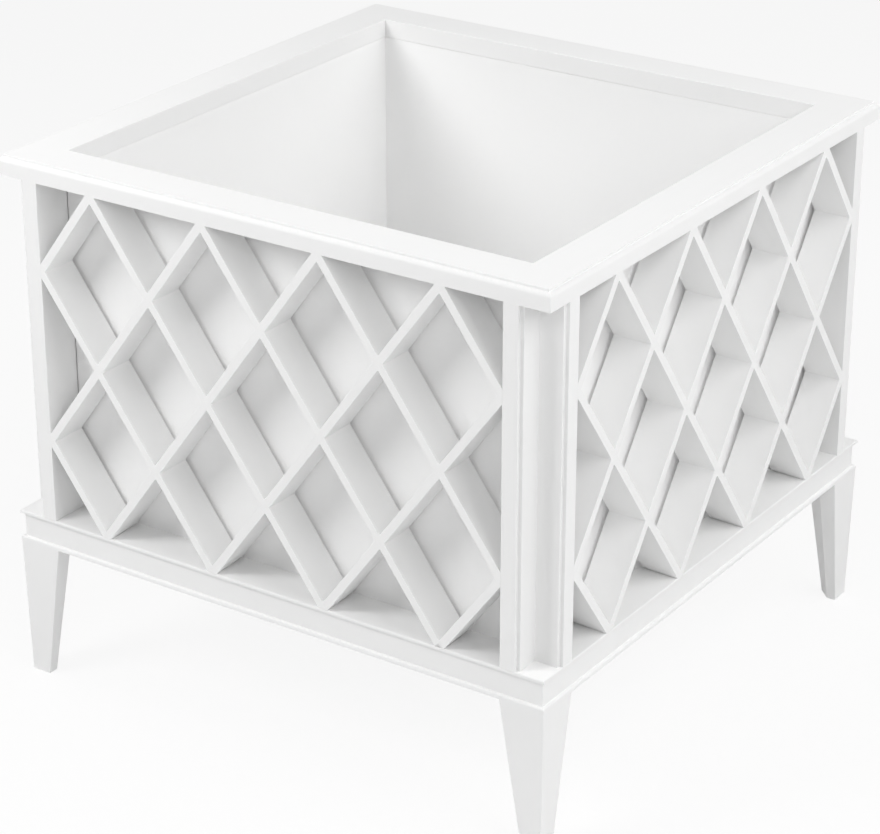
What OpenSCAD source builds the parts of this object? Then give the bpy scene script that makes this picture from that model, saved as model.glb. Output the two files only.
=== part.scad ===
// Square lattice planter on tapered legs. Millimetres, +Z up.
// The origin is on the floor, under the middle of the planter. The front faces -Y.

/* [Overall] */
// Outside width, the same across both pairs of faces
body_w = 508; // [440:1:620]
// Height of the legs, from the floor to the base moulding
leg_h = 122; // [70:1:200]
// Height of the base moulding
base_h = 27; // [25:0.5:45]
// Height of the lattice panels, from the base to the rim
panel_h = 291; // [220:1:400]
// Thickness of the rim boards
rim_t = 16; // [15:0.5:24]

/* [Corners] */
// Depth of the square notch in each corner, from both outer faces
notch_d = 23; // [18:0.5:30]
// Width of the step between a stile and the notch
notch_step = 3; // [2:0.5:6]
// Width of the stile strips
stile_w = 13; // [10:0.5:20]
// Thickness of the stile strips
stile_t = 3; // [2:0.5:6]

/* [Walls and rim] */
// Thickness of the inner walls
wall_t = 3.6; // [3:0.1:5]
// How far the rim and the base rails stand inward past the walls
inner_lip = 0.5; // [0.3:0.1:4]
// Radius of the rounded outer edge of the rim
rim_nose_r = 3.5; // [2:0.5:5]
// Height of the small step above the rounded edge
rim_quirk_h = 2; // [0.5:0.5:3]

/* [Lattice] */
// Diamonds across each side
diamonds_wide = 4; // [2:1:6]
// Diamonds up each side
diamonds_high = 2; // [1:1:4]
// Thickness of a slat, seen from the front
slat_t = 7; // [5:0.5:12]
// Gap between the back edges of the slats and the wall behind them
slat_gap = 2.9; // [0.5:0.1:8]
// Clearance round each halved crossing
lap_gap = 0.1; // [0.05:0.05:0.3]

/* [Base moulding] */
// How far the flat face of the base stands back
base_inset = 3; // [2:0.5:6]
// Height of the thin top edge of the base
base_lip_h = 2.6; // [1.5:0.1:5]
// Height of the thin bottom edge of the base
base_foot_h = 3.5; // [2:0.1:6]
// Radius on the top edge of the base
base_lip_r = 1; // [0.5:0.1:1.4]
// Radius on the bottom edge of the base
base_foot_r = 1.7; // [0.5:0.1:1.8]

/* [Legs] */
// Width of a leg at the top
leg_top_w = 39.5; // [36:0.5:48]
// Width of a leg at the foot
leg_foot_w = 18; // [14:0.5:30]
// How far the outer faces of a leg lean in, down to the foot
leg_lean = 2; // [0:0.1:4]
// Width of the narrow inner sides of a leg at the top
leg_side_top = 15.5; // [12:0.5:26]
// Width of the narrow inner sides of a leg at the foot
leg_side_foot = 8.5; // [6:0.5:13]

/* [Floor] */
// Thickness of the floor panel
floor_t = 9; // [6:0.5:12]
// Gap between the floor panel and its rebate
floor_gap = 0.5; // [0.2:0.1:1.5]
// Diameter of the drain hole in the middle of the floor
drain_d = 25; // [10:1:40]
// Width of the two floor bearers
bearer_w = 40; // [20:1:50]
// Distance of each bearer's middle from the middle of the planter
bearer_x = 75; // [50:1:95]
// How far the bearers are let into the base rails
bearer_housing = 8; // [4:0.5:15]
// Distance of the outer floor screws from the middle, along a bearer
floor_screw_y = 150; // [60:1:160]
// Diameter of the shank of a floor screw
screw_d = 3.5; // [3:0.1:4.5]
// Diameter of the head of a floor screw
screw_head_d = 7; // [6:0.1:9]
// Length of a floor screw, with its head
screw_l = 20; // [16:0.5:22]

/* [Hidden joints] */
// Diameter of the dowels in the corner posts
dowel_d = 8; // [6:0.5:10]
// Depth of a dowel in a corner post
dowel_in_post = 16; // [10:1:30]
// Depth of a dowel in the base
dowel_in_base = 12; // [8:0.5:14]
// Depth of a dowel in the rim
dowel_in_rim = 8; // [6:0.5:8.5]
// Diameter of the dowel that holds a leg
leg_dowel_d = 12; // [8:0.5:12]
// Depth of a leg's dowel in the leg
leg_dowel_in_leg = 26; // [15:1:40]
// Depth of a leg's dowel in the base
leg_dowel_in_base = 20; // [10:0.5:22]
// Distance of a leg's dowel from both outer faces
leg_dowel_inset = 17; // [15:0.5:18]
// Thickness of the loose tongues in the mitres
tongue_t = 3; // [2:0.5:3.5]
// Width of the tongues, across the mitre
tongue_w = 12; // [8:0.5:14]
// Length of the tongues in the rim, along the mitre
rim_tongue_l = 26; // [15:1:30]
// Length of the tongues in the base, along the mitre
base_tongue_l = 12; // [8:0.5:14]
// Clearance round dowels and tongues
glue_gap = 0.05; // [0.02:0.01:0.2]
// Gap left at the ends of the dowel holes
hole_end_gap = 1; // [0.5:0.1:2]

/* [Hidden] */
$fn = 48;
paint = "white";
bare_wood = "burlywood";
zinc = "silver";

// Heights
base_top = leg_h + base_h;
rim_bottom = base_top + panel_h;
full_h = rim_bottom + rim_t;
bearer_h = base_h - floor_t;

// Distances from the middle of the planter to the faces of one side
half_w = body_w / 2;
post_face = half_w - stile_t;
notch_face = half_w - notch_d;
wall_in = notch_face - notch_step - stile_w;
wall_out = wall_in + wall_t;
frame_in = wall_in - inner_lip;
frame_w = half_w - frame_in;
floor_half = wall_out - floor_gap;
board_mid = (half_w + frame_in) / 2;

// Lattice
slat_d = half_w - wall_out - slat_gap;
pitch_x = 2 * wall_in / diamonds_wide;
pitch_z = panel_h / diamonds_high;
slat_angle = atan2(pitch_z, pitch_x);
slat_run = diamonds_high * norm([pitch_x, pitch_z]);
slat_extra = 4 * slat_t;
lap_d = slat_d / 2;

// Dowels and tongues
post_dowel_near = (wall_in + notch_face) / 2;
post_dowel_far = (notch_face + post_face) / 2;
leg_dowel_at = half_w - leg_dowel_inset;
tongue_clear = 1;
rim_tongue_z = rim_bottom + dowel_in_rim + hole_end_gap + tongue_clear + tongue_t / 2;
base_tongue_z = leg_h + bearer_h / 2;
base_tongue_edge = 1.5;
base_tongue_at = frame_in + base_tongue_edge + (tongue_w + base_tongue_l) / 2 / sqrt(2);
over = 1;

// Screws
screw_tip_d = 0.6;
screw_tip_l = screw_d;
screw_head_h = (screw_head_d - screw_d) / 2;
screw_slot_l = screw_head_d * 0.6;
screw_slot_w = screw_d * 0.3;
screw_slot_h = screw_head_h * 0.8;

// ---- Shared shapes ----

// Turns a piece of the front side to side 0 front, 1 right, 2 back, 3 left
module on_side(side) {
    rotate([0, 0, 90 * side]) children();
}

// Turns a piece of the back right corner to 0 back right, 1 back left, 2 front left, 3 front right
module at_corner(corner) {
    rotate([0, 0, 90 * corner]) children();
}

// Runs a profile along the front side. Its x is the distance in from the outer face
module along_front(z) {
    translate([-half_w, -half_w, z])
        rotate([90, 0, 90])
            linear_extrude(body_w) children();
}

// The plan of a front board between its two mitres
module mitre_plan(z, height) {
    translate([0, 0, z])
        linear_extrude(height)
            polygon([[-half_w, -half_w], [half_w, -half_w], [frame_in, -frame_in], [-frame_in, -frame_in]]);
}

// What a rounded edge of radius r takes off the corner at the origin, with open air above
module edge_cut(r, air) {
    difference() {
        translate([-over, -r]) square([r + over, r + air]);
        translate([r, -r]) circle(r);
    }
}

// A loose tongue across the mitre of the back right corner, grown by gap
module tongue(at, length, z, gap) {
    translate([at, at, z])
        rotate([0, 0, 45])
            cube([length + 2 * gap, tongue_w + 2 * gap, tongue_t + 2 * gap], center = true);
}

// ---- Rim ----

module rim_profile() {
    difference() {
        square([frame_w, rim_t]);
        translate([0, rim_t - rim_quirk_h]) edge_cut(rim_nose_r, rim_quirk_h + over);
    }
}

module rim_board(side) {
    on_side(side) difference() {
        intersection() {
            along_front(rim_bottom) rim_profile();
            mitre_plan(rim_bottom, rim_t);
        }
        for (corner = [2, 3]) at_corner(corner) {
            tongue(board_mid, rim_tongue_l, rim_tongue_z, glue_gap);
            post_dowels(rim_bottom - over, over + dowel_in_rim + hole_end_gap, glue_gap);
        }
    }
}

// ---- Base ----

module base_profile() {
    cove_z = base_h - base_lip_h - base_inset;
    difference() {
        square([frame_w, base_h]);
        translate([0, base_h]) edge_cut(base_lip_r, over);
        translate([0, cove_z]) circle(base_inset);
        translate([-over, base_foot_h]) square([base_inset + over, cove_z - base_foot_h]);
        translate([0, base_foot_h]) edge_cut(base_foot_r, over);
        translate([half_w - wall_out, base_h - floor_t]) square([frame_w, floor_t + over]);
    }
}

module base_rail(side) {
    on_side(side) difference() {
        intersection() {
            along_front(leg_h) base_profile();
            mitre_plan(leg_h, base_h);
        }
        for (corner = [2, 3]) at_corner(corner) {
            tongue(base_tongue_at, base_tongue_l, base_tongue_z, glue_gap);
            leg_dowel(over, leg_dowel_in_base + hole_end_gap, glue_gap);
            post_dowels(base_top - dowel_in_base - hole_end_gap, dowel_in_base + hole_end_gap + over, glue_gap);
        }
        bearer_housings(side);
    }
}

// The front and back rails take the ends of the bearers
module bearer_housings(side) {
    if (side % 2 == 0) {
        for (x = [-bearer_x, bearer_x]) {
            translate([x - bearer_w / 2, -frame_in - bearer_housing, leg_h - over])
                cube([bearer_w, bearer_housing + over, bearer_h + over]);
        }
    }
}

// ---- Walls, posts and stiles ----

// The front and back walls run past the ends of the side walls
module wall(side) {
    half_run = side % 2 == 0 ? wall_out : wall_in;
    on_side(side)
        translate([-half_run, -wall_out, base_top])
            cube([2 * half_run, wall_t, panel_h]);
}

module corner_post(corner) {
    at_corner(corner) difference() {
        translate([0, 0, base_top])
            linear_extrude(panel_h)
                polygon([
                    [wall_out, wall_in], [post_face, wall_in], [post_face, notch_face],
                    [notch_face, notch_face], [notch_face, post_face], [wall_in, post_face],
                    [wall_in, wall_out], [wall_out, wall_out]
                ]);
        post_dowels(base_top - over, over + dowel_in_post + hole_end_gap, glue_gap);
        post_dowels(rim_bottom - dowel_in_post - hole_end_gap, dowel_in_post + hole_end_gap + over, glue_gap);
    }
}

// hand is 0 for the stile on the +X end of the front side and 1 for the other end
module stile(side, hand) {
    on_side(side)
        mirror([hand, 0, 0])
            translate([wall_in, -half_w, base_top])
                cube([stile_w, stile_t, panel_h]);
}

// ---- Lattice ----

// One band of the lattice on the front side, drawn in x and height above the base
module slat_band(index, thickness) {
    start_x = -wall_in + pitch_x * (index + 0.5);
    translate([start_x, 0])
        rotate(slat_angle)
            translate([-slat_extra, -thickness / 2])
                square([slat_run + 2 * slat_extra, thickness]);
}

// Stands a flat drawing up as a layer of the front side, from depth_from to depth_to
module front_layer(depth_from, depth_to) {
    translate([0, -half_w + depth_to, base_top])
        rotate([90, 0, 0])
            linear_extrude(depth_to - depth_from) children();
}

// Rising slats keep their front half at a crossing, and falling slats their back half
module rising_slats(side) {
    on_side(side) for (index = [-diamonds_high : diamonds_wide - 1]) {
        difference() {
            slat_blank(index);
            front_layer(lap_d - lap_gap / 2, slat_d + over) falling_bands();
        }
    }
}

module falling_slats(side) {
    on_side(side) for (index = [-diamonds_high : diamonds_wide - 1]) {
        difference() {
            mirror([1, 0, 0]) slat_blank(index);
            front_layer(-over, lap_d + lap_gap / 2) mirror([1, 0]) falling_bands();
        }
    }
}

module slat_blank(index) {
    front_layer(0, slat_d) intersection() {
        slat_band(index, slat_t);
        translate([-wall_in, 0]) square([2 * wall_in, panel_h]);
    }
}

// Every band that falls to the right, with its clearance
module falling_bands() {
    for (index = [-diamonds_high : diamonds_wide - 1]) {
        mirror([1, 0]) slat_band(index, slat_t + 2 * lap_gap);
    }
}

// ---- Legs ----

// Upright outline of a leg, seen square to a face. Its x runs inward from the outer face, as minus
module leg_outline() {
    polygon([[-leg_lean, 0], [-leg_lean - leg_foot_w, 0], [-leg_top_w, leg_h], [0, leg_h]]);
}

// The same seen across the diagonal, where the cut takes off the inner corner
module leg_cut_outline() {
    foot_x = (2 * leg_lean + leg_foot_w + leg_side_foot) / sqrt(2);
    top_x = (leg_top_w + leg_side_top) / sqrt(2);
    polygon([[over, 0], [-foot_x, 0], [-top_x, leg_h], [over, leg_h]]);
}

// Square taper with its inner corner cut off, the outer corner at the origin
module leg_body() {
    reach = 2 * leg_top_w;
    intersection() {
        translate([0, over, 0]) rotate([90, 0, 0]) linear_extrude(reach) leg_outline();
        translate([-reach, 0, 0]) rotate([90, 0, 90]) linear_extrude(reach + over) leg_outline();
        rotate([90, 0, 45]) linear_extrude(2 * reach, center = true) leg_cut_outline();
    }
}

module leg(corner) {
    at_corner(corner) difference() {
        translate([half_w, half_w, 0]) leg_body();
        leg_dowel(leg_dowel_in_leg + hole_end_gap, over, glue_gap);
    }
}

// ---- Floor ----

module floor_plate() {
    difference() {
        translate([-floor_half, -floor_half, base_top - floor_t])
            cube([2 * floor_half, 2 * floor_half, floor_t]);
        translate([0, 0, base_top - floor_t - over]) cylinder(d = drain_d, h = floor_t + 2 * over);
        for (x = [-bearer_x, bearer_x]) at_screws(x) screw_hole();
    }
}

module floor_bearer(x) {
    reach = frame_in + bearer_housing - floor_gap;
    difference() {
        translate([x - bearer_w / 2, -reach, leg_h]) cube([bearer_w, 2 * reach, bearer_h]);
        at_screws(x) screw_hole();
    }
}

// Puts a piece at each screw of one bearer, level with the top of the floor
module at_screws(x) {
    for (y = [-floor_screw_y, 0, floor_screw_y]) {
        translate([x, y, base_top]) children();
    }
}

module screw_hole() {
    hole_d = screw_d + 2 * glue_gap;
    hole_l = screw_l + hole_end_gap;
    translate([0, 0, -hole_l]) cylinder(d = hole_d, h = hole_l + over);
    translate([0, 0, -screw_head_h - glue_gap])
        cylinder(d1 = hole_d, d2 = screw_head_d + 2 * glue_gap, h = screw_head_h + glue_gap);
}

module countersunk_screw() {
    difference() {
        union() {
            translate([0, 0, -screw_l]) cylinder(d1 = screw_tip_d, d2 = screw_d, h = screw_tip_l);
            translate([0, 0, screw_tip_l - screw_l])
                cylinder(d = screw_d, h = screw_l - screw_tip_l - screw_head_h);
            translate([0, 0, -screw_head_h]) cylinder(d1 = screw_d, d2 = screw_head_d, h = screw_head_h);
        }
        for (turn = [0, 90]) rotate([0, 0, turn])
            translate([-screw_slot_l / 2, -screw_slot_w / 2, -screw_slot_h])
                cube([screw_slot_l, screw_slot_w, screw_slot_h + over]);
    }
}

// ---- Dowels ----

// The two dowels of the back right post, or their holes where gap is added
module post_dowels(z, length, gap) {
    for (spot = [[post_dowel_near, post_dowel_far], [post_dowel_far, post_dowel_near]]) {
        translate([spot[0], spot[1], z]) cylinder(d = dowel_d + 2 * gap, h = length);
    }
}

// The dowel between the back right leg and the base, or its hole
module leg_dowel(below, above, gap) {
    translate([leg_dowel_at, leg_dowel_at, leg_h - below])
        cylinder(d = leg_dowel_d + 2 * gap, h = below + above);
}

// ---- Named pieces ----

module rim_board_front() { color(paint) rim_board(0); }
module rim_board_right() { color(paint) rim_board(1); }
module rim_board_back() { color(paint) rim_board(2); }
module rim_board_left() { color(paint) rim_board(3); }

module base_rail_front() { color(paint) base_rail(0); }
module base_rail_right() { color(paint) base_rail(1); }
module base_rail_back() { color(paint) base_rail(2); }
module base_rail_left() { color(paint) base_rail(3); }

module wall_front() { color(paint) wall(0); }
module wall_right() { color(paint) wall(1); }
module wall_back() { color(paint) wall(2); }
module wall_left() { color(paint) wall(3); }

module corner_post_back_right() { color(paint) corner_post(0); }
module corner_post_back_left() { color(paint) corner_post(1); }
module corner_post_front_left() { color(paint) corner_post(2); }
module corner_post_front_right() { color(paint) corner_post(3); }

module stile_front_right() { color(paint) stile(0, 0); }
module stile_front_left() { color(paint) stile(0, 1); }
module stile_right_back() { color(paint) stile(1, 0); }
module stile_right_front() { color(paint) stile(1, 1); }
module stile_back_left() { color(paint) stile(2, 0); }
module stile_back_right() { color(paint) stile(2, 1); }
module stile_left_front() { color(paint) stile(3, 0); }
module stile_left_back() { color(paint) stile(3, 1); }

module rising_slats_front() { color(paint) rising_slats(0); }
module rising_slats_right() { color(paint) rising_slats(1); }
module rising_slats_back() { color(paint) rising_slats(2); }
module rising_slats_left() { color(paint) rising_slats(3); }

module falling_slats_front() { color(paint) falling_slats(0); }
module falling_slats_right() { color(paint) falling_slats(1); }
module falling_slats_back() { color(paint) falling_slats(2); }
module falling_slats_left() { color(paint) falling_slats(3); }

module leg_back_right() { color(paint) leg(0); }
module leg_back_left() { color(paint) leg(1); }
module leg_front_left() { color(paint) leg(2); }
module leg_front_right() { color(paint) leg(3); }

module floor_panel() { color(paint) floor_plate(); }
module floor_bearer_left() { color(paint) floor_bearer(-bearer_x); }
module floor_bearer_right() { color(paint) floor_bearer(bearer_x); }

module floor_screws() {
    color(zinc) for (x = [-bearer_x, bearer_x]) at_screws(x) countersunk_screw();
}

module rim_tongues() {
    color(bare_wood) for (corner = [0 : 3]) at_corner(corner)
        tongue(board_mid, rim_tongue_l, rim_tongue_z, 0);
}

module base_tongues() {
    color(bare_wood) for (corner = [0 : 3]) at_corner(corner)
        tongue(base_tongue_at, base_tongue_l, base_tongue_z, 0);
}

module post_head_dowels() {
    color(bare_wood) for (corner = [0 : 3]) at_corner(corner)
        post_dowels(rim_bottom - dowel_in_post, dowel_in_post + dowel_in_rim, 0);
}

module post_foot_dowels() {
    color(bare_wood) for (corner = [0 : 3]) at_corner(corner)
        post_dowels(base_top - dowel_in_base, dowel_in_base + dowel_in_post, 0);
}

module leg_dowels() {
    color(bare_wood) for (corner = [0 : 3]) at_corner(corner)
        leg_dowel(leg_dowel_in_leg, leg_dowel_in_base, 0);
}

rim_board_front();
rim_board_right();
rim_board_back();
rim_board_left();
base_rail_front();
base_rail_right();
base_rail_back();
base_rail_left();
wall_front();
wall_right();
wall_back();
wall_left();
corner_post_back_right();
corner_post_back_left();
corner_post_front_left();
corner_post_front_right();
stile_front_left();
stile_front_right();
stile_right_front();
stile_right_back();
stile_back_right();
stile_back_left();
stile_left_back();
stile_left_front();
rising_slats_front();
rising_slats_right();
rising_slats_back();
rising_slats_left();
falling_slats_front();
falling_slats_right();
falling_slats_back();
falling_slats_left();
leg_back_right();
leg_back_left();
leg_front_left();
leg_front_right();
floor_panel();
floor_bearer_left();
floor_bearer_right();
floor_screws();
rim_tongues();
base_tongues();
post_head_dowels();
post_foot_dowels();
leg_dowels();
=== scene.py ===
from math import atan2, cos, pi, radians, sin
import bmesh
import bpy
from mathutils import Matrix, Vector


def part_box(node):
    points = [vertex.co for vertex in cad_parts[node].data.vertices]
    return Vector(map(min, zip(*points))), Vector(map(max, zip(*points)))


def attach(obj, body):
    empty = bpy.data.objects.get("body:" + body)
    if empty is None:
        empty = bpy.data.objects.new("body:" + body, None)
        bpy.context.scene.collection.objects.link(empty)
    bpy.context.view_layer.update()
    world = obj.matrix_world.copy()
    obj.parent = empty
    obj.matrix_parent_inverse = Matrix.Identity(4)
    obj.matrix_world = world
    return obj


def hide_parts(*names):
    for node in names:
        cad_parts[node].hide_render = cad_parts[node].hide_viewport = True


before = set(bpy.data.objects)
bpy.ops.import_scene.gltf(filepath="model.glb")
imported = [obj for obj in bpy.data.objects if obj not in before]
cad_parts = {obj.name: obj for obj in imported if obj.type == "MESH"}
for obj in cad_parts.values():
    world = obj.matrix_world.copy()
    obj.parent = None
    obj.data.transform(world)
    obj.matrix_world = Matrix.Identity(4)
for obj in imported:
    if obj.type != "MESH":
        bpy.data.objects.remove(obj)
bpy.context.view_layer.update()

scene = bpy.context.scene
sides = ["front", "right", "back", "left"]
corners = ["back_right", "back_left", "front_left", "front_right"]
print("planter: packed model loaded")


tiny = 1e-6  # points closer than this are one point, in metres
slack = 1e-5  # faces closer than this count as level, in metres
sharpFold = 32  # degrees; a sharper fold than this shows as an edge
flatFaceWeight = 100
outlineSteps = 4  # lengths in one rounded corner of an outline
arcSteps = 8  # lengths in a nose or a cove
easeSteps = 3  # lengths across an eased edge
roundEdge = 0.5  # the bevel profile that is part of a circle


# small tools that every piece uses

def mm(value):
    return value / 1000.0


def turn(quarter):
    return Matrix.Rotation(quarter * pi / 2, 4, "Z")


# where the main faces of the front side stand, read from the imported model
rimLow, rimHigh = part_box("rim_board_front")
baseLow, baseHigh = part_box("base_rail_front")
wallLow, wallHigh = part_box("wall_front")
postLow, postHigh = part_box("corner_post_back_right")
stileLow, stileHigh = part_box("stile_front_right")
slatLow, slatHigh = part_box("rising_slats_front")
halfWidth = rimHigh.x
frameWidth = rimHigh.y - rimLow.y
panelLow, panelHigh = stileLow.z, stileHigh.z


def roundOutline(points):
    # points are (x, y, radius) going round a closed outline; a radius of 0 stays sharp
    outline = []
    count = len(points)
    for i, (x, y, radius) in enumerate(points):
        here = Vector((x, y))
        if radius == 0:
            outline.append(here)
            continue
        before = (Vector(points[i - 1][:2]) - here).normalized()
        after = (Vector(points[(i + 1) % count][:2]) - here).normalized()
        halfAngle = before.angle(after) / 2
        reach = radius / max(tiny, abs(sin(halfAngle) / cos(halfAngle)))
        middle = here + (before + after).normalized() * (radius / sin(halfAngle))
        start = here + before * reach - middle
        end = here + after * reach - middle
        sweep = start.angle_signed(end)
        for step in range(outlineSteps + 1):
            angle = sweep * step / outlineSteps
            turned = Vector((start.x * cos(angle) + start.y * sin(angle),
                             -start.x * sin(angle) + start.y * cos(angle)))
            outline.append(middle + turned)
    return outline


def arcPoints(middleX, middleY, radius, fromDegrees, toDegrees):
    points = []
    for step in range(arcSteps + 1):
        angle = radians(fromDegrees + (toDegrees - fromDegrees) * step / arcSteps)
        points.append((middleX + radius * cos(angle), middleY + radius * sin(angle), 0))
    return points


def easeEdges(bm, edges, offset, clamp=False):
    bmesh.ops.bevel(bm, geom=edges, offset=offset, segments=easeSteps, profile=roundEdge,
                    affect="EDGES", clamp_overlap=clamp)


def finishMesh(mesh, bm):
    bmesh.ops.remove_doubles(bm, verts=bm.verts, dist=tiny)
    bmesh.ops.recalc_face_normals(bm, faces=bm.faces)
    bm.to_mesh(mesh)
    bm.free()
    mesh.shade_smooth()
    mesh.set_sharp_from_angle(angle=radians(sharpFold))


def placePiece(name, mesh, nodes, materials, place):
    piece = bpy.data.objects.new(name, mesh)
    scene.collection.objects.link(piece)
    piece.matrix_world = place
    for material in materials:
        mesh.materials.append(material)
    # keeps broad faces flat beside eased edges
    weighted = piece.modifiers.new("flatFaces", "WEIGHTED_NORMAL")
    weighted.weight = flatFaceWeight
    weighted.keep_sharp = True
    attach(piece, "root")
    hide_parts(*nodes)


def lofted(mesh, rings, openings=None):
    # openings gives the outline points that are left out of every second length, for a pocket
    bm = bmesh.new()
    loops = [[bm.verts.new(point) for point in ring] for ring in rings]
    count = len(rings[0])
    for length, (here, there) in enumerate(zip(loops, loops[1:])):
        pocket = openings if openings and length % 2 else []
        for i in range(count):
            j = (i + 1) % count
            if not (i in pocket and j in pocket):
                bm.faces.new((here[i], here[j], there[j], there[i]))
        if pocket:
            first, last = pocket[0], pocket[-1]
            bm.faces.new((here[first], here[last], there[last], there[first]))
            bm.faces.new([here[i] for i in pocket])
            bm.faces.new([there[i] for i in pocket])
    bm.faces.new(loops[0][::-1])
    bm.faces.new(loops[-1])
    finishMesh(mesh, bm)


def uprightPrism(mesh, outline, low, high):
    lofted(mesh, [[Vector((p.x, p.y, height)) for p in outline] for height in (low, high)])


def mitredBoard(mesh, outline, stations=(), openings=None):
    # outline points are (distance in from the outer face, height); stations are the ends of its pockets
    rings = [[Vector((p.x - halfWidth, p.x - halfWidth, p.y)) for p in outline]]
    rings += [[Vector((x, p.x - halfWidth, p.y)) for p in outline] for x in stations]
    rings += [[Vector((halfWidth - p.x, p.x - halfWidth, p.y)) for p in outline]]
    lofted(mesh, rings, openings)


satinPaint = {
    "colour": (0.912, 0.912, 0.910),
    "shade": (0.889, 0.889, 0.886),  # where the coat lies a little thinner
    "roughness": (0.48, 0.60),
    "orangePeel": 0.00003,  # height of the sprayed texture, in metres
    "brushMarks": 0.00004,  # height of the marks along the grain
    "waviness": 0.00012,  # height of the slow ripple in the boards
}
litWallPaint = {
    # painted light: a little lighter than the rest, standing in for more light on the walls, as the
    # inside comes out darker than in the photo
    "colour": (0.950, 0.950, 0.948),
    "shade": (0.932, 0.932, 0.929),
    "roughness": (0.50, 0.60),
    "orangePeel": 0.00002,
    "brushMarks": 0.00001,
    "waviness": 0.00008,
}
paintTexture = {
    "coatScale": 9.0,
    "coatDetail": 3.0,
    "thinnest": 0.55,  # how far the shade comes through at most
    "grainStretch": (7, 160, 160),  # along the board, and the two ways across it
    "grainDetail": 4.0,
    "grainRoughness": 0.6,
    "peelScale": 520.0,
    "peelDetail": 2.0,
    "rippleStretch": (5, 22, 22),
    "rippleDetail": 2.0,
    "ior": 1.46,
    "specular": 0.35,
}
bareBeech = {
    "light": (0.66, 0.47, 0.29),
    "dark": (0.50, 0.32, 0.17),
    "roughness": (0.5, 0.68),
    "ringStretch": (6, 240, 240),
    "ringDetail": 5.0,
    "ringRoughness": 0.62,
    "ringDepth": 0.00006,
    "fleckStretch": (120, 900, 900),
    "fleckDetail": 2.0,
    "fleckDepth": 0.00003,
}
zincPlate = {
    "colour": (0.60, 0.61, 0.62),
    "tint": (0.55, 0.54, 0.46),
    "roughness": (0.26, 0.42),
    "cloudScale": 260.0,
    "cloudDetail": 4.0,
    "veil": 0.7,  # how far the tint comes through at most
    "scuffScale": 1800.0,
    "scuffDetail": 3.0,
    "scuffDepth": 0.00001,
}
pieceSpread = 37.0  # how far apart two pieces can start in a texture


def newMaterial(name):
    material = bpy.data.materials.new(name)
    material.use_nodes = True
    nodes = material.node_tree.nodes
    nodes.clear()
    shader = nodes.new("ShaderNodeBsdfPrincipled")
    output = nodes.new("ShaderNodeOutputMaterial")
    material.node_tree.links.new(shader.outputs["BSDF"], output.inputs["Surface"])
    return material, material.node_tree.nodes, material.node_tree.links, shader


def grainCoordinates(nodes, links, tilt):
    # the board's own length becomes X, so a texture can be stretched along it
    place = nodes.new("ShaderNodeTexCoord")
    swing = nodes.new("ShaderNodeMapping")
    swing.inputs["Rotation"].default_value = (0, tilt, 0)
    links.new(place.outputs["Object"], swing.inputs["Vector"])
    return swing.outputs["Vector"]


def stretched(nodes, links, source, scale):
    mapping = nodes.new("ShaderNodeMapping")
    mapping.inputs["Scale"].default_value = scale
    links.new(source, mapping.inputs["Vector"])
    return mapping.outputs["Vector"]


def noise(nodes, links, source, scale, detail, roughness=0.5):
    texture = nodes.new("ShaderNodeTexNoise")
    texture.noise_dimensions = "4D"
    texture.inputs["Scale"].default_value = scale
    texture.inputs["Detail"].default_value = detail
    texture.inputs["Roughness"].default_value = roughness
    links.new(source, texture.inputs["Vector"])
    info = nodes.new("ShaderNodeObjectInfo")  # each board starts at its own place in the texture
    spread = nodes.new("ShaderNodeMath")
    spread.operation = "MULTIPLY"
    spread.inputs[1].default_value = pieceSpread
    links.new(info.outputs["Random"], spread.inputs[0])
    links.new(spread.outputs[0], texture.inputs["W"])
    return texture.outputs["Fac"]


noiseRange = (0.3, 0.7)  # nearly all of a noise lies between these


def ranged(nodes, links, source, low, high):
    span = nodes.new("ShaderNodeMapRange")
    span.inputs["From Min"].default_value, span.inputs["From Max"].default_value = noiseRange
    span.inputs["To Min"].default_value = low
    span.inputs["To Max"].default_value = high
    links.new(source, span.inputs["Value"])
    return span.outputs["Result"]


def mixed(nodes, links, factor, first, second):
    mix = nodes.new("ShaderNodeMix")
    mix.data_type = "RGBA"
    links.new(factor, mix.inputs["Factor"])
    for value, socket in ((first, mix.inputs["A"]), (second, mix.inputs["B"])):
        if isinstance(value, tuple):
            socket.default_value = (*value, 1)
        else:
            links.new(value, socket)
    return mix.outputs["Result"]


def bumped(nodes, links, height, distance, below=None):
    bump = nodes.new("ShaderNodeBump")
    bump.inputs["Strength"].default_value = 1.0
    bump.inputs["Distance"].default_value = distance
    links.new(height, bump.inputs["Height"])
    if below:
        links.new(below, bump.inputs["Normal"])
    return bump.outputs["Normal"]


def paintedWood(name, tilt, coatValues):
    values = paintTexture
    material, nodes, links, shader = newMaterial(name)
    along = grainCoordinates(nodes, links, tilt)
    alongGrain = stretched(nodes, links, along, values["grainStretch"])
    alongRipple = stretched(nodes, links, along, values["rippleStretch"])
    coat = noise(nodes, links, along, values["coatScale"], values["coatDetail"])
    grain = noise(nodes, links, alongGrain, 1.0, values["grainDetail"], values["grainRoughness"])
    peel = noise(nodes, links, along, values["peelScale"], values["peelDetail"])
    ripple = noise(nodes, links, alongRipple, 1.0, values["rippleDetail"])
    thin = ranged(nodes, links, coat, 0.0, values["thinnest"])
    colour = mixed(nodes, links, thin, coatValues["colour"], coatValues["shade"])
    links.new(colour, shader.inputs["Base Color"])
    links.new(ranged(nodes, links, grain, *coatValues["roughness"]), shader.inputs["Roughness"])
    slow = bumped(nodes, links, ripple, coatValues["waviness"])
    marks = bumped(nodes, links, grain, coatValues["brushMarks"], slow)
    links.new(bumped(nodes, links, peel, coatValues["orangePeel"], marks), shader.inputs["Normal"])
    shader.inputs["IOR"].default_value = values["ior"]
    shader.inputs["Specular IOR Level"].default_value = values["specular"]
    return material


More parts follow.
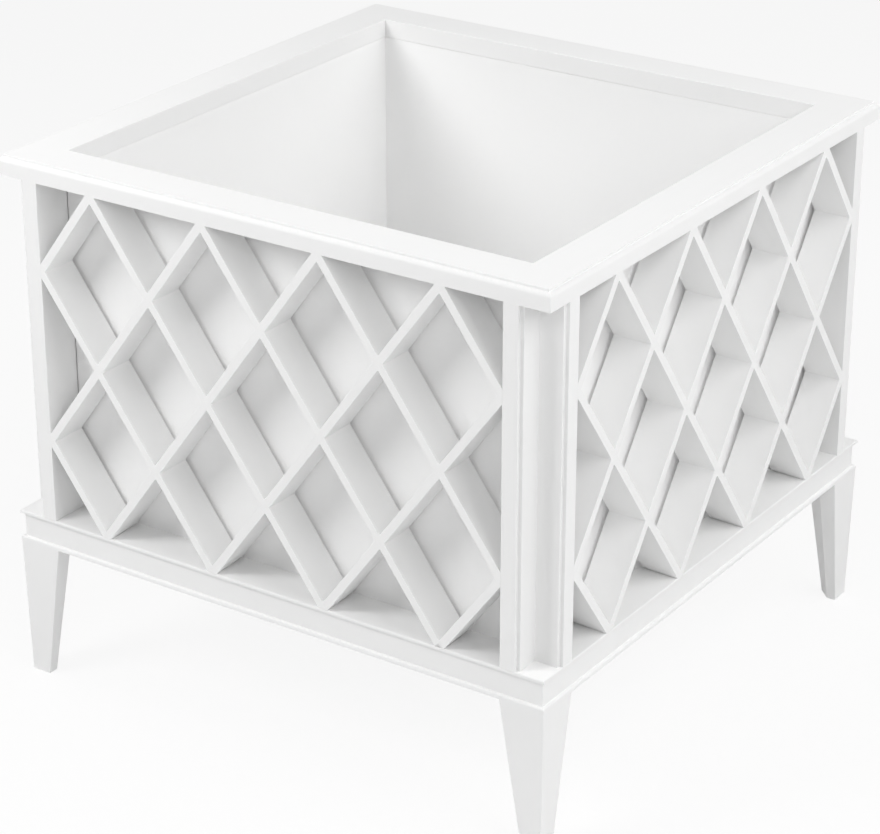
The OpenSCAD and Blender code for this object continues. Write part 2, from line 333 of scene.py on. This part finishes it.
def beechWood(name, tilt):
    values = bareBeech
    material, nodes, links, shader = newMaterial(name)
    along = grainCoordinates(nodes, links, tilt)
    alongRings = stretched(nodes, links, along, values["ringStretch"])
    alongFlecks = stretched(nodes, links, along, values["fleckStretch"])
    rings = noise(nodes, links, alongRings, 1.0, values["ringDetail"], values["ringRoughness"])
    flecks = noise(nodes, links, alongFlecks, 1.0, values["fleckDetail"])
    figure = ranged(nodes, links, rings, 0.0, 1.0)
    colour = mixed(nodes, links, figure, values["light"], values["dark"])
    links.new(colour, shader.inputs["Base Color"])
    links.new(ranged(nodes, links, flecks, *values["roughness"]), shader.inputs["Roughness"])
    deep = bumped(nodes, links, rings, values["ringDepth"])
    links.new(bumped(nodes, links, flecks, values["fleckDepth"], deep), shader.inputs["Normal"])
    return material


def zincSteel(name):
    values = zincPlate
    material, nodes, links, shader = newMaterial(name)
    along = grainCoordinates(nodes, links, 0)
    cloud = noise(nodes, links, along, values["cloudScale"], values["cloudDetail"])
    scuff = noise(nodes, links, along, values["scuffScale"], values["scuffDetail"])
    veil = ranged(nodes, links, cloud, 0.0, values["veil"])
    colour = mixed(nodes, links, veil, values["colour"], values["tint"])
    links.new(colour, shader.inputs["Base Color"])
    links.new(ranged(nodes, links, scuff, *values["roughness"]), shader.inputs["Roughness"])
    links.new(bumped(nodes, links, scuff, values["scuffDepth"]), shader.inputs["Normal"])
    shader.inputs["Metallic"].default_value = 1.0
    return material


slatTilt = atan2((panelHigh - panelLow) / 2, (slatHigh.x - slatLow.x) / 4)
paintAcross = paintedWood("paintedAcross", 0, satinPaint)
paintUpright = paintedWood("paintedUpright", pi / 2, satinPaint)
paintRising = paintedWood("paintedRising", slatTilt, satinPaint)
paintFalling = paintedWood("paintedFalling", -slatTilt, satinPaint)
# painted light: the walls take the lighter copy of the paint, standing in for more light inside
paintWallLit = paintedWood("paintedWallLit", pi / 2, litWallPaint)
beechUpright = beechWood("beechUpright", pi / 2)
beechAcross = beechWood("beechAcross", 0)
zinc = zincSteel("zincPlate")
print("planter: materials made")


rimValues = {
    "noseRadius": 3.5,  # the rounded outer edge
    "noseEnd": 96,  # degrees; the round stops just short of level
    "quirkHeight": 2.0,  # the small step above it
    "topEase": 0.5,
    "innerEase": 0.7,
    "paintFillet": 0.3,
}


def rimOutline():
    low, high = rimLow.z, rimHigh.z
    nose, quirk = mm(rimValues["noseRadius"]), mm(rimValues["quirkHeight"])
    ledge = high - quirk
    points = [(0, low, 0)]
    fillet = mm(rimValues["paintFillet"])
    points += arcPoints(nose, ledge - nose, nose, 180, rimValues["noseEnd"])
    points += [(nose, ledge, fillet), (nose, high, mm(rimValues["topEase"]))]
    points += [(frameWidth, high, mm(rimValues["innerEase"])), (frameWidth, low, fillet)]
    return roundOutline(points)


def rimBoards():
    for quarter, side in enumerate(sides):
        mesh = bpy.data.meshes.new("rimBoard" + side.capitalize())
        mitredBoard(mesh, rimOutline())
        placePiece("rimBoard_" + side, mesh, ["rim_board_" + side],
                   [paintAcross], turn(quarter))
    print("planter: rim boards done")


baseValues = {
    "inset": 3.0,  # how far the flat face stands back
    "lipHeight": 2.6,
    "lipRadius": 1.0,
    "footHeight": 3.5,
    "footRadius": 1.7,
    "paintFillet": 0.3,
    "innerEase": 0.8,
    "housing": 8.0,  # how far the bearers are let into the front and back rails
    "housingPlay": 0.12,
}


def baseOutline():
    low, high = baseLow.z, baseHigh.z
    inset, fillet = mm(baseValues["inset"]), mm(baseValues["paintFillet"])
    foot = low + mm(baseValues["footHeight"])
    coveTop = high - mm(baseValues["lipHeight"])
    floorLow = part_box("floor_panel")[0].z
    rebate = halfWidth + wallLow.y
    points = [(0, low, 0), (0, foot, mm(baseValues["footRadius"])), (inset, foot, fillet)]
    points += arcPoints(0, coveTop - inset, inset, 0, 90)
    points += [(0, high, mm(baseValues["lipRadius"])), (rebate, high, 0), (rebate, floorLow, 0)]
    housing = frameWidth - mm(baseValues["housing"])
    points += [(housing, floorLow, 0), (frameWidth, floorLow, 0)]
    points += [(frameWidth, low, mm(baseValues["innerEase"])), (housing, low, 0)]
    return roundOutline(points)


def baseRails():
    play = mm(baseValues["housingPlay"])
    bearerLow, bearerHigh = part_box("floor_bearer_right")
    inner, outer = bearerLow.x - play, bearerHigh.x + play
    outline = baseOutline()
    housing = frameWidth - mm(baseValues["housing"])
    pocket = [i for i, p in enumerate(outline) if p.x > housing - tiny]
    for quarter, side in enumerate(sides):
        mesh = bpy.data.meshes.new("baseRail" + side.capitalize())
        if side in ("front", "back"):
            mitredBoard(mesh, outline, (-outer, -inner, inner, outer), pocket)
        else:
            mitredBoard(mesh, outline)
        placePiece("baseRail_" + side, mesh, ["base_rail_" + side],
                   [paintAcross], turn(quarter))
    print("planter: base rails done")


cornerValues = {"notchStep": 3.0, "edgeEase": 0.4, "notchFillet": 0.4, "stileEase": 0.25}


def cornerPosts():
    inner, face, outer = postLow.x, postHigh.x, -wallLow.y
    notch = stileHigh.x + mm(cornerValues["notchStep"])
    ease, fillet = mm(cornerValues["edgeEase"]), mm(cornerValues["notchFillet"])
    points = [(outer, inner, 0), (face, inner, 0), (face, notch, ease), (notch, notch, fillet)]
    points += [(notch, face, ease), (inner, face, 0), (inner, outer, 0), (outer, outer, 0)]
    for quarter, corner in enumerate(corners):
        mesh = bpy.data.meshes.new("cornerPost" + str(quarter))
        uprightPrism(mesh, roundOutline(points), panelLow, panelHigh)
        placePiece("cornerPost_" + corner, mesh, ["corner_post_" + corner],
                   [paintUpright], turn(quarter))
    print("planter: corner posts done")


def stileStrips():
    ease = mm(cornerValues["stileEase"])
    x0, x1, y0, y1 = stileLow.x, stileHigh.x, stileLow.y, stileHigh.y
    points = [(x0, y0, ease), (x1, y0, ease), (x1, y1, 0), (x0, y1, 0)]
    mirrored = [(-x, y, radius) for x, y, radius in reversed(points)]
    for quarter, side in enumerate(sides):
        after, before = sides[(quarter + 1) % 4], sides[(quarter + 3) % 4]
        for neighbour, outline in ((after, points), (before, mirrored)):
            node = "stile_" + side + "_" + neighbour
            mesh = bpy.data.meshes.new(node)
            uprightPrism(mesh, roundOutline(outline), panelLow, panelHigh)
            placePiece("stileStrip_" + side + "_" + neighbour, mesh, [node],
                       [paintUpright], turn(quarter))
    print("planter: stile strips done")


wallValues = {"topEase": 1.2, "endGroove": 0.8, "grooveDepth": 1.4}


def innerWalls():
    groove, depth = mm(wallValues["endGroove"]), mm(wallValues["grooveDepth"])
    inner, outer, opening = wallHigh.y, wallLow.y, postLow.x
    for quarter, side in enumerate(sides):
        low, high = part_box("wall_" + side)
        reach = max(high.x - low.x, high.y - low.y) / 2
        half = [(opening - groove, outer), (opening - groove, outer + depth)]
        half += [(reach, outer + depth), (reach, inner)]
        plan = half + [(-x, y) for x, y in reversed(half)]
        mesh = bpy.data.meshes.new("innerWall" + side.capitalize())
        uprightPrism(mesh, [Vector(point) for point in plan], panelLow, panelHigh)
        bm = bmesh.new()
        bm.from_mesh(mesh)
        topEdge = [e for e in bm.edges if all(v.co.z > panelHigh - slack and v.co.y > inner - slack
                                              for v in e.verts)]
        easeEdges(bm, topEdge, mm(wallValues["topEase"]))
        finishMesh(mesh, bm)
        # painted light: the walls get the lighter copy of the paint
        placePiece("innerWall_" + side, mesh, ["wall_" + side],
                   [paintWallLit], turn(quarter))
    print("planter: inner walls done")


latticeValues = {
    "diamondsWide": 4,
    "diamondsHigh": 2,
    "slatThickness": 7.0,
    "edgeEase": 0.4,
    "cornerFillet": 0.8,  # paint and glue lying in the corners of the diamonds
    "footHollow": 1.3,  # the feet of the slats are cut hollow, so a dark line shows at the back
    "longEdge": 1.0,  # an edge that runs further than this towards the back goes through the slat
    "sharpest": 60,  # degrees; a sharper fold than this is eased
}


def latticeGrid():
    # centre of every crossing, keyed by its column and row
    columns = 2 * latticeValues["diamondsWide"]
    rows = 2 * latticeValues["diamondsHigh"]
    stepX = (slatHigh.x - slatLow.x) / columns
    stepZ = (panelHigh - panelLow) / rows
    crossings = {}
    for column in range(columns + 1):
        for row in range(rows + 1):
            if (column + row) % 2:
                crossings[column, row] = Vector((slatLow.x + stepX * column, panelLow + stepZ * row))
    return crossings, columns, rows, stepX, stepZ


def latticeFaces():
    # flat outline of the lattice as crossings and the lengths of slat between them
    crossings, columns, rows, stepX, stepZ = latticeGrid()
    angle = atan2(stepZ, stepX)
    half = mm(latticeValues["slatThickness"]) / 2
    east, north = Vector((half / sin(angle), 0)), Vector((0, half / cos(angle)))
    faces = []
    for (column, row), middle in crossings.items():
        corner = {"east": middle + east, "north": middle + north,
                  "west": middle - east, "south": middle - north}
        if column == 0:
            del corner["west"]
        if column == columns:
            del corner["east"]
        if row == 0:
            del corner["south"]
        if row == rows:
            del corner["north"]
        faces.append(("rising", list(corner.values())))
        above = crossings.get((column + 1, row + 1))
        if above:
            faces.append(("rising", [middle + east, above - north, above - east, middle + north]))
        above = crossings.get((column - 1, row + 1))
        if above:
            faces.append(("falling", [middle + north, above + east, above - north, middle - east]))
    return faces


def onOpening(point):
    return (abs(abs(point.x) - slatHigh.x) < slack or abs(point.z - panelLow) < slack
            or abs(point.z - panelHigh) < slack)


def depthOf(edge):
    return abs(edge.verts[0].co.y - edge.verts[1].co.y)


def latticePanels():
    ease, fillet = mm(latticeValues["edgeEase"]), mm(latticeValues["cornerFillet"])
    for quarter, side in enumerate(sides):
        bm = bmesh.new()
        front = slatLow.y
        kinds = {"rising": 0, "falling": 1}
        for kind, outline in latticeFaces():
            face = bm.faces.new([bm.verts.new((p.x, front, p.y)) for p in outline])
            face.material_index = kinds[kind]
        bmesh.ops.remove_doubles(bm, verts=bm.verts, dist=tiny)
        bmesh.ops.recalc_face_normals(bm, faces=bm.faces)
        made = bmesh.ops.extrude_face_region(bm, geom=list(bm.faces), use_keep_orig=True)
        moved = [item for item in made["geom"] if isinstance(item, bmesh.types.BMVert)]
        bmesh.ops.translate(bm, verts=moved, vec=(0, slatHigh.y - front, 0))
        for vert in moved:
            if vert.co.z < panelLow + slack:
                vert.co.z += mm(latticeValues["footHollow"])
        bmesh.ops.recalc_face_normals(bm, faces=bm.faces)
        # this looks at one end of an edge only, so which feet get a fillet varies from run to run
        inward = [e for e in bm.edges if depthOf(e) > mm(latticeValues["longEdge"])
                  and not onOpening(e.verts[0].co) and len(e.link_faces) == 2]
        easeEdges(bm, inward, fillet, clamp=True)
        rims = []
        for edge in bm.edges:
            if len(edge.link_faces) != 2 or all(onOpening(v.co) for v in edge.verts):
                continue
            if edge.calc_face_angle(0) > radians(latticeValues["sharpest"]) and depthOf(edge) < tiny:
                rims.append(edge)
        easeEdges(bm, rims, ease, clamp=True)
        mesh = bpy.data.meshes.new("latticePanel" + side.capitalize())
        finishMesh(mesh, bm)
        nodes = ["rising_slats_" + side, "falling_slats_" + side]
        placePiece("latticePanel_" + side, mesh, nodes,
                   [paintRising, paintFalling], turn(quarter))
    print("planter: lattice panels done")


legValues = {
    "topWidth": 39.5,
    "footWidth": 18.0,
    "lean": 2.0,  # how far the outer faces lean in, down to the foot
    "sideTop": 15.5,
    "sideFoot": 8.5,
    "edgeEase": 0.8,
    "footChamfer": 1.2,
}


def legRing(height):
    # plan of the leg at one height, its upright edges eased
    share, ease = height / baseLow.z, mm(legValues["edgeEase"])
    near = mm(legValues["lean"]) * (1 - share)
    far = near + mm(legValues["footWidth"] + (legValues["topWidth"] - legValues["footWidth"]) * share)
    cut = near + mm(legValues["sideFoot"] + (legValues["sideTop"] - legValues["sideFoot"]) * share)
    plan = [(near, near), (far, near), (far, cut), (cut, far), (near, far)]
    outline = roundOutline([(halfWidth - x, halfWidth - y, ease) for x, y in plan])
    return [Vector((p.x, p.y, height)) for p in outline]


def taperedLegs():
    chamfer = mm(legValues["footChamfer"])
    share = 1 - 2 * legValues["footChamfer"] / legValues["footWidth"]
    foot = legRing(0)
    middle = sum(foot, Vector()) / len(foot)
    rings = [[middle + (point - middle) * share for point in foot], legRing(chamfer), legRing(baseLow.z)]
    for quarter, corner in enumerate(corners):
        mesh = bpy.data.meshes.new("taperedLeg" + str(quarter))
        lofted(mesh, rings)
        placePiece("taperedLeg_" + corner, mesh, ["leg_" + corner],
                   [paintUpright], turn(quarter))
    print("planter: legs done")


def recoat(node, material):
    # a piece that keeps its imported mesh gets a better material
    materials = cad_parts[node].data.materials
    materials.clear()
    materials.append(material)


def floorParts():
    for node in ("floor_panel", "floor_bearer_left", "floor_bearer_right"):
        recoat(node, paintAcross)
    print("planter: floor done")


def hiddenJoints():
    for node in ("post_head_dowels", "post_foot_dowels", "leg_dowels"):
        recoat(node, beechUpright)
    for node in ("rim_tongues", "base_tongues"):
        recoat(node, beechAcross)
    recoat("floor_screws", zinc)
    print("planter: hidden joints done")


photoView = {
    "azimuth": 33.6685,
    "elevation": 24.3717,
    "roll": 0.1994,
    "distance": 2.37678,
    "aim": (0.00904, -0.04572, 0.254),  # sideways, up the picture, and height above the ground
    "focalLength": 117.526,
    "sensorWidth": 36,
    "clipEnd": 60,
    "shift": (-0.02366, -0.00278),
}
studio = {
    "sky": 0.15,
    "floorColour": (0.92, 0.92, 0.92),
    "floorRoughness": 0.9,
    "floorReach": 9,
    "floorSquares": 8,
    "floorGlow": 0.88,  # how far the floor is washed out to white for the camera, its shadow kept
    "aim": (0, 0, 0.25),
    # degrees round from the front, degrees up, metres away, metres across, watts
    "lamps": {
        "key": (-31, 36.5, 1.85, 0.76, 13.15),
        "left": (-75, 45, 1.5, 1.0, 3.7),
        "near": (32, 30, 2.6, 1.5, 9.9),
        "right": (80, 40, 2.35, 1.8, 21.3),
        "behind": (120, 35, 2.2, 1.6, 8.5),
        "above": (150, 56, 1.6, 1.2, 3.1),
    },
}


def photoCamera():
    azimuth, elevation = radians(photoView["azimuth"]), radians(photoView["elevation"])
    roll = radians(photoView["roll"])
    back = Vector((sin(azimuth) * cos(elevation), -cos(azimuth) * cos(elevation), sin(elevation)))
    right = Vector((cos(azimuth), sin(azimuth), 0))
    up = back.cross(right)
    sideways, upward, height = photoView["aim"]
    place = Vector((0, 0, height)) + right * sideways + up * upward + back * photoView["distance"]
    rolledRight = right * cos(roll) + up * sin(roll)
    rolledUp = up * cos(roll) - right * sin(roll)
    lens = bpy.data.cameras.new("photoCamera")
    lens.sensor_width = photoView["sensorWidth"]
    lens.lens = photoView["focalLength"]
    lens.shift_x, lens.shift_y = photoView["shift"]
    lens.clip_end = photoView["clipEnd"]
    camera = bpy.data.objects.new("photoCamera", lens)
    facing = Matrix((rolledRight, rolledUp, back)).transposed().to_4x4()
    camera.matrix_world = Matrix.Translation(place) @ facing
    scene.collection.objects.link(camera)
    scene.camera = camera


def lamp(name, values):
    around, above, away, size, power = values
    around, above = radians(around), radians(above)
    direction = Vector((cos(above) * sin(around), -cos(above) * cos(around), sin(above)))
    light = bpy.data.lights.new(name, "AREA")
    light.shape = "DISK"
    light.size = size
    light.energy = power
    holder = bpy.data.objects.new(name, light)
    holder.location = Vector(studio["aim"]) + direction * away
    holder.rotation_euler = (-direction).to_track_quat("-Z", "Y").to_euler()
    scene.collection.objects.link(holder)


def whiteWorld():
    world = bpy.data.worlds.new("studioSky")
    world.use_nodes = True
    nodes, links = world.node_tree.nodes, world.node_tree.links
    nodes.clear()
    seen, lit = nodes.new("ShaderNodeBackground"), nodes.new("ShaderNodeBackground")
    seen.inputs["Strength"].default_value = 1.0
    lit.inputs["Strength"].default_value = studio["sky"]
    mix, output = nodes.new("ShaderNodeMixShader"), nodes.new("ShaderNodeOutputWorld")
    links.new(shownRays(nodes, links), mix.inputs["Fac"])
    links.new(lit.outputs[0], mix.inputs[1])
    links.new(seen.outputs[0], mix.inputs[2])
    links.new(mix.outputs[0], output.inputs["Surface"])
    for shade in (seen, lit):
        shade.inputs["Color"].default_value = (1, 1, 1, 1)
    scene.world = world


def shownRays(nodes, links):
    # camera, glossy and transmission rays see the white backdrop
    path = nodes.new("ShaderNodeLightPath")
    total = path.outputs["Is Camera Ray"]
    for kind in ("Is Glossy Ray", "Is Transmission Ray"):
        larger = nodes.new("ShaderNodeMath")
        larger.operation = "MAXIMUM"
        links.new(total, larger.inputs[0])
        links.new(path.outputs[kind], larger.inputs[1])
        total = larger.outputs[0]
    return total


def paleFloor():
    mesh = bpy.data.meshes.new("studioFloor")
    bm = bmesh.new()
    squares = studio["floorSquares"]
    bmesh.ops.create_grid(bm, x_segments=squares, y_segments=squares, size=studio["floorReach"])
    bm.to_mesh(mesh)
    bm.free()
    floor = bpy.data.objects.new("studioFloor", mesh)
    scene.collection.objects.link(floor)
    material = bpy.data.materials.new("studioFloor")
    material.use_nodes = True
    nodes, links = material.node_tree.nodes, material.node_tree.links
    shader = nodes["Principled BSDF"]
    shader.inputs["Base Color"].default_value = (*studio["floorColour"], 1)
    shader.inputs["Roughness"].default_value = studio["floorRoughness"]
    glow, mix = nodes.new("ShaderNodeEmission"), nodes.new("ShaderNodeMixShader")
    glow.inputs["Strength"].default_value = 1.0
    part = nodes.new("ShaderNodeMath")
    part.operation = "MULTIPLY"
    part.inputs[1].default_value = studio["floorGlow"]
    links.new(shownRays(nodes, links), part.inputs[0])
    links.new(part.outputs[0], mix.inputs["Fac"])
    links.new(shader.outputs[0], mix.inputs[1])
    links.new(glow.outputs[0], mix.inputs[2])
    links.new(mix.outputs[0], nodes["Material Output"].inputs["Surface"])
    mesh.materials.append(material)


photoCamera()
rimBoards()
baseRails()
cornerPosts()
stileStrips()
innerWalls()
latticePanels()
taperedLegs()
floorParts()
hiddenJoints()
whiteWorld()
paleFloor()
for name, values in studio["lamps"].items():
    lamp(name, values)
scene.view_settings.view_transform = "Standard"
print("planter: stage done")
